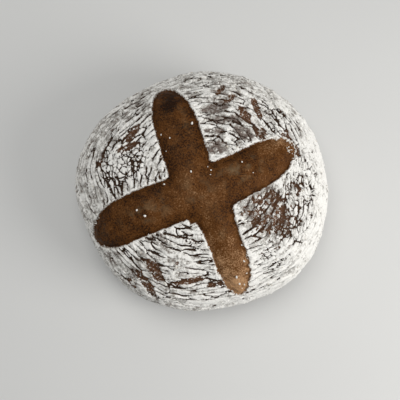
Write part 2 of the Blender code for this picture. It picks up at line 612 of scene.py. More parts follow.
@dataclass(frozen=True)
class LoafForm:
    """The loaf's plain domed form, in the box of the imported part.

    Attributes:
        length: Size along X, in metres.
        width: Size along Y.
        height: Size along Z.
        widest: Height of the widest ring.
        cross: The score.
        upper_share: Share of the meridian, by angle, that lies above the widest ring.
        dome_powers: Roundness of the dome, outwards and upwards.
        base_powers: The same below the widest ring, where the side rolls in to the base.
        overrun: How far the rolled-in side would run on below the base, which cuts it off.
        waves: Waves round the outline, share of the radius and direction of a crest.
    """

    length: float
    width: float
    height: float
    widest: float = 0.034
    cross: ScoreCross = field(default_factory=ScoreCross)
    upper_share: float = 0.76
    dome_powers: tuple[float, float] = (2.25, 2.05)
    base_powers: tuple[float, float] = (6.0, 2.2)
    overrun: float = 0.003
    waves: tuple[tuple[int, float, float], ...] = (
        (3, 0.010, 59.0),
        (4, 0.012, -24.5),
        (5, 0.008, 25.5),
    )

    @classmethod
    def from_frame(cls, node: str) -> "LoafForm":
        """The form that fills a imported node's box."""
        low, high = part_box(node)
        return cls(*(float(high[k] - low[k]) for k in range(3)))

    def outline(self, angle: np.ndarray) -> np.ndarray:
        """How far the uneven side stands out at a plan angle, as a share of the radius.

        Args:
            angle: Plan angles, in radians.

        Returns:
            The shares.
        """
        total = np.ones_like(angle)
        for count, share, crest in self.waves:
            total += share * np.cos(count * (angle - math.radians(crest)))
        return total

    def meridian(self, share: np.ndarray) -> tuple[np.ndarray, np.ndarray]:
        """Radius share and height on the meridian, for shares from the top to the base.

        Args:
            share: 0 at the top, 1 at the middle of the base.

        Returns:
            The radius shares, and the heights in metres.
        """
        upper = share < self.upper_share
        rise = math.pi / 2 * (1.0 - np.minimum(share / self.upper_share, 1.0))
        fall = math.pi / 2 * (share - self.upper_share) / (1.0 - self.upper_share)
        fall = np.clip(fall, 0.0, math.pi / 2)
        dome_out, dome_up = (2.0 / power for power in self.dome_powers)
        base_out, base_down = (2.0 / power for power in self.base_powers)
        top = self.widest + (self.height - self.widest) * np.sin(rise) ** dome_up
        low = self.widest - (self.widest + self.overrun) * np.sin(fall) ** base_down
        radius = np.where(
            upper,
            np.maximum(np.cos(rise), 0.0) ** dome_out,
            np.maximum(np.cos(fall), 0.0) ** base_out,
        )
        return radius, np.maximum(np.where(upper, top, low), 0.0)

    def middle(self) -> tuple[float, float]:
        """The middle of the uneven outline's own box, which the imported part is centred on.

        Returns:
            Its X and Y, in metres.
        """
        angle = np.radians(np.arange(0.0, 360.0, 0.25))
        x = self.outline(angle) * np.cos(angle) * self.length / 2
        y = self.outline(angle) * np.sin(angle) * self.width / 2
        return float(x.max() + x.min()) / 2, float(y.max() + y.min()) / 2

    def plain(self, cells: int, deepest: float = 1.0) -> Sheet:
        """The uncut loaf as a sheet of nearly even cells.

        Args:
            cells: Cells along each edge of the rounded cube that the sheet starts from.
            deepest: How far down the meridian the sheet goes, from 0 to 1.

        Returns:
            The sheet, with its ring coordinates and its way down the meridian as values.
        """
        direction, faces = rounded_cube(cells)
        share = np.arccos(np.clip(direction[:, 2], -1.0, 1.0)) / math.pi
        angle = np.arctan2(direction[:, 1], direction[:, 0])
        radius, height = self.meridian(share)
        stretch = radius * self.outline(angle)
        mid_x, mid_y = self.middle()
        points = np.stack(
            [
                stretch * np.cos(angle) * self.length / 2 - mid_x,
                stretch * np.sin(angle) * self.width / 2 - mid_y,
                height,
            ],
            axis=1,
        )
        steps = np.linspace(0.0, 1.0, 2001)
        run, rise = self.meridian(steps)
        lengths = np.hypot(np.diff(run) * self.length / 2, np.diff(rise))
        path = np.interp(share, steps, np.concatenate([[0.0], np.cumsum(lengths)]))
        rings = np.stack([RING_RADIUS * np.cos(angle), RING_RADIUS * np.sin(angle), path], axis=1)
        sheet = Sheet(points, faces, {"ring_place": rings, "path": path, "angle_share": share})
        if deepest < 1.0:
            sheet = sheet.kept(faces[(share[faces] < deepest).all(1)])
        return sheet

    def cut_distance(self, sheet: Sheet) -> np.ndarray:
        """Distance of each corner to the cross, in metres along the skin, below 0 inside it.

        Args:
            sheet: The skin to measure on.

        Returns:
            The distances.
        """
        mid_x, mid_y = self.middle()
        plan = self.cross.distance(sheet.points[:, 0] + mid_x, sheet.points[:, 1] + mid_y)
        low_side = sheet.points[:, 2] < self.widest
        plan = np.where(low_side, np.maximum(plan, 0.02), plan)
        steep = np.clip(sheet.steepest(sheet.slopes(plan)), 0.35, 3.0)
        return plan / steep


def rounded_cube(cells: int) -> tuple[np.ndarray, np.ndarray]:
    """A cube blown up to a ball, whose rows are evenly spaced by angle.

    Args:
        cells: Cells along each edge of the cube.

    Returns:
        Unit directions, and triangles turned outwards.
    """
    ticks = np.tan(np.linspace(-math.pi / 4, math.pi / 4, cells + 1))
    first, second = np.meshgrid(ticks, ticks, indexing="ij")
    row = np.arange(cells + 1)
    i, j = np.meshgrid(row[:-1], row[:-1], indexing="ij")
    corner = (i * (cells + 1) + j).ravel()
    quads = np.stack([corner, corner + cells + 1, corner + cells + 2, corner + 1], axis=1)
    points, faces = [], []
    for axis in range(3):
        for side in (1.0, -1.0):
            place = np.empty((first.size, 3))
            place[:, axis] = side
            place[:, (axis + 1) % 3] = first.ravel()
            place[:, (axis + 2) % 3] = second.ravel()
            turned = quads if side > 0 else quads[:, ::-1]
            faces.append(turned + len(points) * first.size)
            points.append(place)
    every = np.concatenate(points)
    every /= np.linalg.norm(every, axis=1)[:, None]
    _, keep, number = np.unique(
        np.round(every, 7), axis=0, return_index=True, return_inverse=True
    )
    quads = number.ravel()[np.concatenate(faces)]
    triangles = np.concatenate([quads[:, [0, 1, 2]], quads[:, [0, 2, 3]]])
    return every[keep], triangles


# ---------------------------------------------------------------- fields and relief


class CrustFields:
    """Geometry nodes that give each point of the skin its noise and its cracks."""

    def __init__(self, seed: float = 3.7) -> None:
        """Builds the tree once.

        Args:
            seed: Number that sets the pattern.
        """
        inputs = {
            "Geometry": None,
            "Flake Size": (0.0220, 0.0220, 0.0048),
            "Slash Size": (0.0360, 0.0360, 0.0096),
            "Hair Size": (0.0040, 0.0040, 0.0030),
            "Cobble Size": (0.0056, 0.0056, 0.0048),
            "Streak Size": (0.0110, 0.0110, 0.0026),
            "Sway": 0.0036,
            "Waver": 0.0017,
            "Ragging": 0.0005,
            "Seed": float(seed),
            "Material": "material",
        }
        outputs = {"Geometry": "NodeSocketGeometry"}
        bench, given, result = new_group("crust_fields", "GeometryNodeTree", inputs, outputs)
        self.tree = bench.tree
        place = bench.seeded_place(given["Seed"], 0.31, 0.77)
        ring = bench.stored("ring_place", "FLOAT_VECTOR")
        warped = self._pushed(bench, ring, place, 36.0, given["Sway"])
        warped = self._pushed(bench, warped, place, 150.0, given["Waver"])
        warped = self._pushed(bench, warped, place, 600.0, given["Ragging"])
        fields = {
            "rag": bench.noise(place, 210.0, 3.0).outputs[0],
            "swell": bench.noise(place, 48.0, 2.0, 0.4).outputs[0],
            "ring_crack": self._edges(bench, warped, given["Flake Size"]),
            "slash_crack": self._edges(bench, warped, given["Slash Size"]),
            "fine_crack": self._edges(bench, warped, given["Hair Size"]),
            "cobble_crack": self._edges(bench, warped, given["Cobble Size"]),
            "crack_width": bench.noise(place, 90.0, 2.0).outputs[0],
            "slash_width": bench.noise(place, 55.0, 2.0).outputs[0],
            "wear": bench.noise(place, 260.0, 4.0, 0.62).outputs[0],
            "cover": bench.noise(place, 95.0, 3.0, 0.55).outputs[0],
            "streak": self._streaks(bench, warped, given["Streak Size"]),
            "cobble": bench.noise(place, 40.0, 1.0).outputs[0],
        }
        self.names = tuple(fields)
        geometry = given["Geometry"]
        for name, value in fields.items():
            geometry = bench.put(
                "GeometryNodeStoreNamedAttribute",
                {"Geometry": geometry, "Name": name, "Value": value},
                data_type="FLOAT",
                domain="POINT",
            ).outputs[0]
        bench.close(geometry, given["Material"], result["Geometry"])

    @staticmethod
    def _pushed(bench: NodeBench, ring: Any, place: Any, scale: float, reach: Any) -> Any:
        """Moves ring coordinates about by a noise, by up to reach each way."""
        doubled = bench.vectors("MULTIPLY", bench.wandering(place, scale, reach), (2.0, 2.0, 2.0))
        return bench.vectors("ADD", ring, doubled)

    @staticmethod
    def _edges(bench: NodeBench, where: Any, size: Any) -> Any:
        """Distance to the edges of a pattern of cells of one size.

        Args:
            bench: The bench of the tree it goes into.
            where: Coordinates to read the pattern at.
            size: Size of one cell, in metres.

        Returns:
            The distance, as a socket.
        """
        cells = bench.vectors("DIVIDE", where, size)
        inputs = {"Vector": cells, "Scale": 1.0, "Randomness": 0.95}
        kind = "ShaderNodeTexVoronoi"
        return bench.put(kind, inputs, feature="DISTANCE_TO_EDGE").outputs["Distance"]

    @staticmethod
    def _streaks(bench: NodeBench, where: Any, size: Any) -> Any:
        """A noise drawn out along the rings."""
        return bench.noise(bench.vectors("DIVIDE", where, size), 1.0, 3.0, 0.6).outputs[0]

    def stored(self, sheet: Sheet, material: bpy.types.Material) -> None:
        """Runs the tree on a sheet and keeps the fields as its values.

        Args:
            sheet: The skin to work on, changed in place.
            material: The finish.
        """
        host = sheet.to_mesh("skin_fields")
        mesh = grown(host, self.tree, {"Material": material}, "skin_fields_done")
        for name in self.names:
            sheet.values[name] = point_values(mesh, name)
        bpy.data.meshes.remove(mesh)
        bpy.data.meshes.remove(host)


@dataclass(frozen=True)
class Patch:
    """An oval on the skin where something differs: sizes in metres, turn in degrees."""

    x: float
    y: float
    long: float
    short: float
    turn: float
    strength: float = 1.0

    def weight(self, points: np.ndarray) -> np.ndarray:
        """Strength at the middle, falling to 0 at the oval's edge.

        Args:
            points: Places on the skin, in metres.

        Returns:
            The strength at each place.
        """
        turn = math.radians(self.turn)
        dx, dy = points[:, 0] - self.x, points[:, 1] - self.y
        along = (dx * math.cos(turn) + dy * math.sin(turn)) / self.long
        across = (dy * math.cos(turn) - dx * math.sin(turn)) / self.short
        fade = 1.0 - smooth_step(np.hypot(along, across), 0.55, 1.30)
        return self.strength * fade


@dataclass(frozen=True)
class Spot:
    """A soft round or oval spot on the skin: middle and reaches in metres."""

    x: float
    y: float
    reach_x: float
    reach_y: float

    def weight(self, points: np.ndarray) -> np.ndarray:
        """1 at the middle, fading out smoothly past the reaches."""
        across = ((points[:, 0] - self.x) / self.reach_x) ** 2
        return np.exp(-(across + ((points[:, 1] - self.y) / self.reach_y) ** 2))


# The cross: paler where the arms meet, charred near the upper arm's end, and paler again at the
# right arm's end, which faces the key light: golden crust there, with painted light.
HUB = Spot(-0.004, -0.012, 0.022, 0.022)
NORTH_CHAR = Spot(-0.0225, 0.0545, 0.0050, 0.0075)
EAST_TIP = Spot(0.058, 0.028, 0.018, 0.009)

# Flour that came off altogether.
BARE_PATCHES = (
    Patch(-0.051, 0.033, 0.011, 0.0035, 56.0, 0.9),
    Patch(-0.054, 0.022, 0.010, 0.0035, 25.0, 0.8),
    Patch(-0.074, 0.013, 0.006, 0.0030, 70.0, 0.6),
    Patch(0.014, 0.068, 0.008, 0.0030, 55.0, 0.7),
    Patch(0.021, 0.060, 0.007, 0.0028, 40.0, 0.8),
    Patch(0.041, 0.054, 0.012, 0.0032, -68.0, 1.0),
    Patch(0.032, 0.047, 0.008, 0.0042, -55.0, 1.0),
    Patch(0.044, 0.032, 0.009, 0.0060, -60.0, 0.7),
    Patch(-0.034, -0.067, 0.011, 0.0048, -52.0, 1.0),
    Patch(-0.041, -0.076, 0.013, 0.0036, -52.0, 0.9),
    Patch(-0.052, -0.076, 0.006, 0.0028, -45.0, 0.7),
    Patch(-0.020, -0.061, 0.005, 0.0030, -20.0, 0.6),
    Patch(0.063, 0.032, 0.007, 0.0044, 60.0, 0.9),
    Patch(0.071, 0.021, 0.007, 0.0036, 100.0, 0.8),
    Patch(0.010, -0.078, 0.008, 0.0030, 10.0, 0.7),
    Patch(-0.009, -0.075, 0.013, 0.0026, 6.0, 0.9),
)
# Flour rubbed off in part.
RUBBED_PATCHES = (
    Patch(0.048, -0.026, 0.024, 0.0190, -38.0, 0.76),
    Patch(0.064, -0.014, 0.018, 0.0120, 80.0, 0.50),
    Patch(0.046, -0.046, 0.016, 0.0100, -20.0, 0.45),
)
# Flour so thin that the crust greys it.
THIN_PATCHES = (
    Patch(0.011, 0.051, 0.011, 0.0045, 8.0, 0.9),
    Patch(0.016, 0.041, 0.013, 0.0040, -2.0, 0.9),
    Patch(0.030, 0.032, 0.010, 0.0050, -36.0, 0.9),
    Patch(0.010, 0.032, 0.008, 0.0035, 0.0, 0.7),
    Patch(0.010, 0.020, 0.009, 0.0060, 0.0, 0.8),
    Patch(-0.030, -0.045, 0.010, 0.0060, -40.0, 0.5),
    Patch(-0.064, -0.058, 0.010, 0.0050, -50.0, 0.5),
    Patch(0.040, -0.010, 0.012, 0.0050, 28.0, 0.8),
)
# Painted sheen: pale olive-grey patches on the burst crust's ridges, where the light's reflection
# would lie.
SHEEN_PATCHES = (
    Patch(0.050, 0.026, 0.020, 0.0055, 18.0, 0.9),
    Patch(0.028, 0.004, 0.017, 0.0100, 25.0, 1.0),
    Patch(-0.038, -0.028, 0.017, 0.0090, 20.0, 0.7),
    Patch(-0.008, 0.044, 0.022, 0.0070, -72.0, 0.6),
    Patch(0.020, -0.046, 0.012, 0.0060, -65.0, 0.7),
    Patch(-0.004, -0.012, 0.012, 0.0090, 0.0, 0.4),
)
# Flour caked thickest.
THICK_PATCHES = (
    Patch(-0.046, 0.020, 0.032, 0.0220, 50.0, 1.0),
    Patch(-0.018, -0.044, 0.020, 0.0140, 10.0, 0.5),
)
# Flour broken into small plates, into beads, and hardly broken at all.
COBBLED_PATCHES = (
    Patch(0.078, 0.004, 0.030, 0.0110, 88.0, 0.75),
    Patch(0.066, -0.040, 0.024, 0.0150, 60.0, 0.70),
    Patch(-0.052, 0.010, 0.020, 0.0110, 65.0, 0.8),
    Patch(-0.068, 0.016, 0.016, 0.0090, 75.0, 0.7),
    Patch(0.060, 0.044, 0.016, 0.0120, -50.0, 0.7),
    Patch(0.018, -0.052, 0.014, 0.0100, 0.0, 0.6),
)
BEADED_PATCHES = (
    Patch(0.054, 0.046, 0.017, 0.0110, -50.0, 0.9),
    Patch(0.071, 0.006, 0.021, 0.0100, 85.0, 1.0),
    Patch(0.070, -0.024, 0.018, 0.0130, 80.0, 1.0),
    Patch(0.058, -0.050, 0.020, 0.0120, 40.0, 0.9),
)
CALM_PATCHES = (
    Patch(0.090, 0.012, 0.046, 0.0140, 92.0, 0.7),
    Patch(0.080, -0.046, 0.024, 0.0120, 60.0, 0.6),
    Patch(0.062, 0.066, 0.024, 0.0100, -45.0, 0.4),
    Patch(0.050, -0.060, 0.028, 0.0200, 30.0, 0.45),
)


def patch_weight(patches: tuple[Patch, ...], points: np.ndarray) -> np.ndarray:
    """The strongest of several patches at each point."""
    return np.max([patch.weight(points) for patch in patches], axis=0)


@dataclass(frozen=True)
class FlakePattern:
    """How wide the flour's cracks gape, as half widths in metres, and where it wore off."""

    ring_half: float = 0.00058
    cross_half: float = 0.00030
    slash_half: float = 0.00100
    cobble_half: float = 0.00038
    bead_half: float = 0.00026
    shut: float = 0.0012
    ragged: float = 0.0008
    wear_reach: float = 0.006
    lip_guard: float = 0.0007
    lip_guard_reach: float = 0.0013
    ring_opening: tuple[float, float] = (0.32, 1.15)
    cross_opening: tuple[float, float] = (-1.15, 2.4)
    cobble_opening: tuple[float, float] = (0.45, 0.9)
    cobble_noise: float = 1.6
    bead_noise: float = 1.2
    calming: float = 1.1
    slash_closed: float = 0.0001
    worn_from: float = 0.26
    bare_wear: float = 0.40
    rubbed_wear: float = 0.34

    def mark(self, sheet: Sheet) -> None:
        """Stores the signed distance to the nearest crack's and worn spot's edge.

        Args:
            sheet: The skin to work on, changed in place.
        """
        v = sheet.values
        rings = v["ringwise"] ** 1.5
        opened = smooth_step(v["crack_width"], 0.30, 0.70)
        cobbled = patch_weight(COBBLED_PATCHES, sheet.points)
        cobbled = cobbled + self.cobble_noise * (v["cobble"] - NOISE_MIDDLE)
        cobbled = smooth_step(cobbled, 0.25, 0.50)
        beaded = patch_weight(BEADED_PATCHES, sheet.points)
        beaded = beaded + self.bead_noise * (v["cobble"] - NOISE_MIDDLE)
        beaded = smooth_step(beaded, 0.20, 0.45) * (1.0 - cobbled)
        calm = 1.0 - self.calming * patch_weight(CALM_PATCHES, sheet.points)
        ring = self.ring_half * self._gape(self.ring_opening, opened) * calm
        cross = self.cross_half * self._gape(self.cross_opening, opened) * calm
        gaps = [v["ring_gap"] - mixed(cross, ring, rings)]
        slash = self.slash_half * smooth_step(v["slash_width"], 0.42, 0.66) * calm
        slash = slash - self.slash_closed
        slash = mixed(-self.shut, slash, smooth_step(v["slashwise"], 0.35, 0.65))
        gaps.append(v["slash_gap"] - slash)
        cobble = self.cobble_half * self._gape(self.cobble_opening, opened)
        cobble = mixed(-self.shut, cobble, cobbled)
        gaps.append(v["cobble_gap"] - cobble)
        gaps.append(v["fine_gap"] - mixed(-self.shut, self.bead_half, beaded))
        v["cracks"] = np.min(gaps, axis=0) + self.ragged * (v["wear"] - NOISE_MIDDLE)
        v["guard"] = smooth_step(v["wear"], 0.44, 0.60) * (1.0 - v["torn"])
        v["cracks"] += self.lip_guard * bell(v["cut"], self.lip_guard_reach) * v["guard"]
        v["beaded"] = beaded
        bare = patch_weight(BARE_PATCHES, sheet.points)
        rubbed = patch_weight(RUBBED_PATCHES, sheet.points)
        worn = self.worn_from + self.bare_wear * bare + self.rubbed_wear * rubbed
        v["worn"] = self.wear_reach * (v["wear"] - worn)

    @staticmethod
    def _gape(opening: tuple[float, float], opened: np.ndarray) -> np.ndarray:
        """Share of its full width that a crack gapes, between least and least plus range."""
        least, more = opening
        return least + more * opened


@dataclass(frozen=True)
class Skin:
    """How the baked skin stands out of the plain dome. Heights and reaches are in metres."""

    form: LoafForm
    pattern: FlakePattern = field(default_factory=FlakePattern)
    lip_rise: float = 0.0014
    lip_spread: float = 0.0060
    dip: float = 0.0026
    dip_spread: float = 0.024
    drop: float = 0.0028
    crown: float = 0.0040
    half_width: float = 0.015
    wall: float = 0.0010
    swell: float = 0.0016
    rag: float = 0.0011
    torn_rag: float = 2.6
    torn_reach: float = 0.02
    torn_east: tuple[tuple[float, float], ...] = ((0.038, 0.060), (0.002, 0.018))
    torn_south: tuple[float, float] = (0.064, 0.080)
    torn_side: tuple[tuple[float, float], ...] = ((0.024, 0.030), (0.045, 0.060))
    torn_side_share: float = 0.8

    def measure(self, sheet: Sheet) -> None:
        """Works out the distances and masks that the relief, the flour and the finish read.

        Args:
            sheet: The skin to work on, changed in place.
        """
        v = sheet.values
        points = sheet.points
        cut = self.form.cut_distance(sheet)
        x, y = points[:, 0], points[:, 1]
        (east_x, east_y), (side_x, side_y) = self.torn_east, self.torn_side
        torn = smooth_step(x, *east_x) * smooth_step(y, *east_y)
        torn = np.maximum(torn, smooth_step(-y, *self.torn_south) * (x > 0.0))
        side = self.torn_side_share * smooth_step(-y, *side_y) * smooth_step(x, *side_x)
        v["torn"] = np.maximum(torn, side) * (np.abs(cut) < self.torn_reach)
        ragged = (v["rag"] - NOISE_MIDDLE) * 2.0 * self.rag
        v["cut"] = cut + ragged * (1.0 + self.torn_rag * v["torn"])
        down = sheet.slopes(v["path"])
        down /= np.maximum(np.linalg.norm(down, axis=1), 1e-12)[:, None]
        v["ring_gap"], v["ringwise"] = self._gap(sheet, v["ring_crack"], down)
        v["slash_gap"], v["slashwise"] = self._gap(sheet, v["slash_crack"], down)
        v["fine_gap"], _ = self._gap(sheet, v["fine_crack"], down)
        v["cobble_gap"], _ = self._gap(sheet, v["cobble_crack"], down)
        self.pattern.mark(sheet)

    @staticmethod
    def _gap(sheet: Sheet, edge: np.ndarray, down: np.ndarray) -> tuple[np.ndarray, np.ndarray]:
        """True distance to a crack's middle, and 1 where the crack runs along a ring.

        Args:
            sheet: The skin to measure on.
            edge: The crack field's distance to its cells' edges, at each corner.
            down: Each triangle's direction down the side.

        Returns:
            The distances in metres, and the marks.
        """
        slopes = sheet.slopes(edge)
        squares = np.stack([(slopes**2).sum(1), (slopes * down).sum(1) ** 2], axis=1)
        total = sheet.summed(squares)
        ringwise = total[:, 1] / np.maximum(total[:, 0], 1e-20)
        return edge / np.maximum(sheet.steepest(slopes), 1e-6), ringwise

    def raised(self, sheet: Sheet) -> None:
        """Moves a measured sheet from the plain dome out to the baked skin.

        Args:
            sheet: The skin to work on, changed in place.
        """
        v = sheet.values
        cut = v["cut"]
        outside = self.lip_rise * bell(np.maximum(cut, 0.0), self.lip_spread)
        outside -= self.dip * bell(np.maximum(cut, 0.0), self.dip_spread)
        inward = np.clip(-cut / self.half_width, 0.0, 1.0)
        arch = np.sqrt(1.0 - (1.0 - inward) ** 2)
        inside = -self.dip - self.drop + (self.drop + self.crown) * arch
        relief = mixed(inside, outside, smooth_step(cut, -self.wall, 0.0002))
        swell = (v["swell"] - NOISE_MIDDLE) * 2.0 * self.swell
        relief += swell * smooth_step(sheet.points[:, 2], 0.0, 0.02)
        steep = 1.0 - smooth_step(v["angle_share"], self.form.upper_share * 0.7, 0.95)
        sheet.points = sheet.points + sheet.normals() * (relief * np.maximum(steep, 0.15))[:, None]
        sheet.points[:, 2] = np.maximum(sheet.points[:, 2], 0.0)


# ---------------------------------------------------------------- shared shader groups


class ShaderGroups:
    """Effects that several finishes share, each built once."""

    def __init__(self) -> None:
        """Builds the groups."""
        self.mottle = self._mottle()
        self.grain = self._grain()
        self.dusting = self._dusting()

    @staticmethod
    def _mottle() -> bpy.types.NodeTree:
        """A soft mask of patches: Scale is patches to the metre.

        Returns:
            The group.
        """
        inputs = {"Vector": (0.0, 0.0, 0.0), "Scale": 60.0, "Detail": 3.0, "Low": 0.4, "High": 0.6}
        bench, given, result = new_group(
            "patchy_mask", "ShaderNodeTree", inputs, {"Mask": "NodeSocketFloat"}
        )
        noise = bench.noise(given["Vector"], given["Scale"], given["Detail"], 0.55)
        mask = bench.spread(noise.outputs[0], given["Low"], given["High"])
        bench.link(mask, result["Mask"])
        return bench.tree

    @staticmethod
    def _grain() -> bpy.types.NodeTree:
        """Height of a baked or powdery grain, from 0 to about 1.

        Returns:
            The group.
        """
        inputs = {"Vector": (0.0, 0.0, 0.0), "Coarse": 700.0, "Fine": 2200.0, "Fine Share": 0.4}
        bench, given, result = new_group(
            "grain_height", "ShaderNodeTree", inputs, {"Height": "NodeSocketFloat"}
        )
        coarse = bench.noise(given["Vector"], given["Coarse"], 3.0, 0.6).outputs[0]
        fine = bench.noise(given["Vector"], given["Fine"], 2.0, 0.6).outputs[0]
        fine = bench.maths("MULTIPLY", fine, given["Fine Share"])
        bench.link(bench.maths("ADD", coarse, fine), result["Height"])
        return bench.tree

    @staticmethod
    def _dusting() -> bpy.types.NodeTree:
        """A mask of fine specks of flour: Amount is the share of the surface they cover.

        Returns:
            The group.
        """
        inputs = {"Vector": (0.0, 0.0, 0.0), "Size": 900.0, "Amount": 0.3}
        bench, given, result = new_group(
            "flour_dust_mask", "ShaderNodeTree", inputs, {"Mask": "NodeSocketFloat"}
        )
        specks = bench.noise(given["Vector"], given["Size"], 4.0, 0.7).outputs[0]
        line = bench.maths("SUBTRACT", 0.78, bench.maths("MULTIPLY", given["Amount"], 0.50))
        above = bench.maths("SUBTRACT", specks, line)
        mask = bench.spread(above, -0.05, 0.07)
        bench.link(mask, result["Mask"])
        return bench.tree

    @staticmethod
    def use(bench: NodeBench, tree: bpy.types.NodeTree, inputs: dict[str, Any]) -> Any:
        """Places a group in a material and returns its first output."""
        return bench.put("ShaderNodeGroup", inputs, node_tree=tree).outputs[0]

    def patchy(
        self, bench: NodeBench, place: Any, scale: float, detail: float, low: float, high: float
    ) -> Any:
        """Places the patchy mask in a material: scale is patches to the metre."""
        inputs = {"Vector": place, "Scale": scale, "Detail": detail, "Low": low, "High": high}
        return self.use(bench, self.mottle, inputs)

    def grained(
        self, bench: NodeBench, shader: Any, grain: dict[str, Any], strength: float, depth: float
    ) -> Any:
        """Gives a shader a fine grain as bump.

        Args:
            bench: The material's bench.
            shader: Its Principled shader.
            grain: Inputs of the grain group.
            strength: Strength of the bump.
            depth: Depth of the bump, in metres.

        Returns:
            The grain's height.
        """
        height = self.use(bench, self.grain, grain)
        inputs = {"Height": height, "Strength": strength, "Distance": depth}
        bench.link(bench.put("ShaderNodeBump", inputs).outputs[0], shader.inputs["Normal"])
        return height


def new_material(name: str) -> tuple[bpy.types.Material, NodeBench, Any, Any]:
    """Makes a material with a Principled shader and Object coordinates.

    Args:
        name: The material's name.

    Returns:
        The material, its node bench, its shader and the coordinates' socket.
    """
    material = bpy.data.materials.new(name)
    material.use_nodes = True
    bench = NodeBench(material.node_tree)
    shader = material.node_tree.nodes["Principled BSDF"]
    place = bench.put("ShaderNodeTexCoord").outputs["Object"]
    return material, bench, shader, place


def value_of(bench: NodeBench, name: str) -> Any:
    """Reads a point attribute of the piece as a number."""
    return bench.put("ShaderNodeAttribute", attribute_name=name).outputs["Fac"]


@dataclass(frozen=True)
class BakedCrust:
    """Browned crust: dark in the burst cross with a painted sheen on its ridges, dull and dusted
    under the flour, with painted shade in the cracks' beds.
    """

    dark: tuple[float, ...] = (0.014, 0.006, 0.003, 1.0)
    brown: tuple[float, ...] = (0.096, 0.035, 0.0075, 1.0)
    golden: tuple[float, ...] = (0.440, 0.255, 0.130, 1.0)
    painted_sheen: tuple[float, ...] = (0.160, 0.108, 0.058, 1.0)
    under_flour: tuple[float, ...] = (0.105, 0.055, 0.034, 1.0)
    painted_crack_shade: tuple[float, ...] = (0.022, 0.016, 0.011, 1.0)
    flour: tuple[float, ...] = (0.58, 0.56, 0.52, 1.0)
    roughness: float = 0.55
    specular: float = 0.06
    patchiness: float = 0.26
    freckling: float = 2.4
    brown_from: tuple[float, float] = (0.05, 0.55)
    golden_from: tuple[float, float] = (0.60, 1.45)
    sheen_share: float = 0.62

    def build(self, groups: ShaderGroups) -> bpy.types.Material:
        """Makes the crust's material.

        Args:
            groups: The shader groups it draws on.

        Returns:
            The material.
        """
        material, bench, shader, place = new_material("baked_crust")
        bake, inside = value_of(bench, "bake"), value_of(bench, "burst")
        patches = groups.patchy(bench, place, 85.0, 4.0, 0.4, 0.6)
        freckle = bench.noise(place, 980.0, 4.0, 0.7).outputs[0]
        tone = bench.swung(patches, self.patchiness, bake)
        tone = bench.swung(freckle, self.freckling, tone)
        burst = bench.colours(bench.spread(tone, *self.brown_from), self.dark, self.brown)
        burst = bench.colours(bench.spread(tone, *self.golden_from), burst, self.golden)
        # Painted sheen: a pale olive-grey where the light's reflection would lie on the arms'
        # ridges.
        sheen_mask = groups.patchy(bench, place, 130.0, 3.0, 0.42, 0.70)
        sheen_mask = bench.maths("MULTIPLY", sheen_mask, value_of(bench, "ridge_sheen"))
        sheen_mask = bench.maths("MULTIPLY", sheen_mask, self.sheen_share, clamp=True)
        burst = bench.colours(sheen_mask, burst, self.painted_sheen)
        skin = bench.colours(bench.spread(freckle, 0.35, 0.7), self.under_flour, self.brown)
        colour = bench.colours(inside, skin, burst)
        # Painted shade: the cracks' beds are drawn near black where their walls would shade them.
        colour = bench.colours(value_of(bench, "painted_crack_shade"), colour, self.painted_crack_shade)
        specks = {"Vector": place, "Size": 750.0, "Amount": value_of(bench, "dust")}
        dust = groups.use(bench, groups.dusting, specks)
        colour = bench.colours(dust, colour, self.flour)
        bench.link(colour, shader.inputs["Base Color"])
        rough = bench.spread(freckle, 0.3, 0.7, self.roughness - 0.10, self.roughness + 0.14)
        rough = bench.maths("ADD", rough, bench.maths("MULTIPLY", dust, 0.35), clamp=True)
        bench.link(rough, shader.inputs["Roughness"])
        grain = {"Vector": place, "Coarse": 520.0, "Fine": 1900.0, "Fine Share": 0.5}
        groups.grained(bench, shader, grain, 0.55, 0.0006)
        shader.inputs["Specular IOR Level"].default_value = self.specular
        return material


@dataclass(frozen=True)
class CakedFlour:
    """Flour caked onto the crust: chalky white where thick, brownish grey where thin."""

    white: tuple[float, ...] = (0.86, 0.845, 0.81, 1.0)
    grey: tuple[float, ...] = (0.40, 0.38, 0.35, 1.0)
    thin: tuple[float, ...] = (0.155, 0.120, 0.102, 1.0)
    specular: float = 0.2
    powderiness: float = 1.7
    blotchiness: float = 0.30
    grey_from: tuple[float, float] = (0.05, 0.45)
    white_from: tuple[float, float] = (0.36, 0.84)

    def build(self, groups: ShaderGroups) -> bpy.types.Material:
        """Makes the flour's material.

        Args:
            groups: The shader groups it draws on.

        Returns:
            The material.
        """
        material, bench, shader, place = new_material("caked_flour")
        # The cover share also holds painted light: it is higher on the side towards the key light.
        cover = value_of(bench, "cover_and_light_share")
        powder = bench.noise(place, 620.0, 4.0, 0.7).outputs[0]
        blotch = groups.patchy(bench, place, 230.0, 4.0, 0.38, 0.62)
        depth = bench.swung(powder, self.powderiness, cover)
        depth = bench.swung(blotch, self.blotchiness, depth)
        colour = bench.colours(bench.spread(depth, *self.grey_from), self.thin, self.grey)
        colour = bench.colours(bench.spread(depth, *self.white_from), colour, self.white)
        bench.link(colour, shader.inputs["Base Color"])
        bench.link(bench.spread(powder, 0.3, 0.7, 0.82, 0.96), shader.inputs["Roughness"])
        grain = {"Vector": place, "Coarse": 800.0, "Fine": 2600.0, "Fine Share": 0.5}
        groups.grained(bench, shader, grain, 0.9, 0.0008)
        shader.inputs["Specular IOR Level"].default_value = self.specular
        return material


